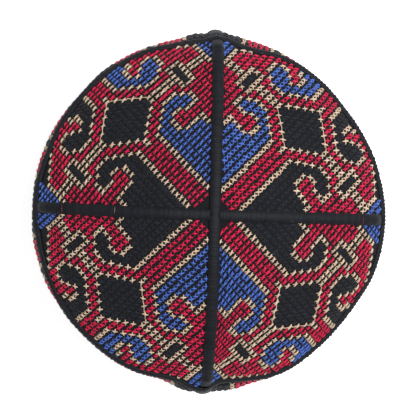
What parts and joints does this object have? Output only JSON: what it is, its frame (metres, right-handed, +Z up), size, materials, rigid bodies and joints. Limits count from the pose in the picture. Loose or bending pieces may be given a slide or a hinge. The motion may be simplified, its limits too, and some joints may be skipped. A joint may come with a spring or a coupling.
{
  "type": "kufi",
  "caption": "Low embroidered skull cap with a peaked crown of quarter-round gores, raised seam ribs, a rim rib and a standing side band, open below for the head.",
  "frame": {"origin": "middle of the cap's footprint, on the surface that its bottom edge stands on", "axes": "+Z up to the peak; +Y towards the back fold point, along the lengthwise seam; +X to the wearer's left when the front point faces forward, along the crosswise seam"},
  "size_m": [0.1894, 0.1948, 0.0842],
  "materials": {
    "black_cloth": "matt woven cotton, covered on the outside with red, blue and beige cross-stitch",
    "black_satin_stitch": "close black thread with a faint sheen",
    "black_tape": "matt woven tape"
  },
  "bodies": {
    "root": {"gore_front_left": "black_cloth", "gore_front_right": "black_cloth", "gore_back_left": "black_cloth", "gore_back_right": "black_cloth", "crown_rib_lengthwise": "black_satin_stitch", "crown_rib_left": "black_satin_stitch", "crown_rib_right": "black_satin_stitch", "rim_rib": "black_satin_stitch", "band_left": "black_cloth", "band_right": "black_cloth", "band_rib_front": "black_satin_stitch", "band_rib_back": "black_satin_stitch", "hem_binding": "black_tape"}
  },
  "joints": []
}
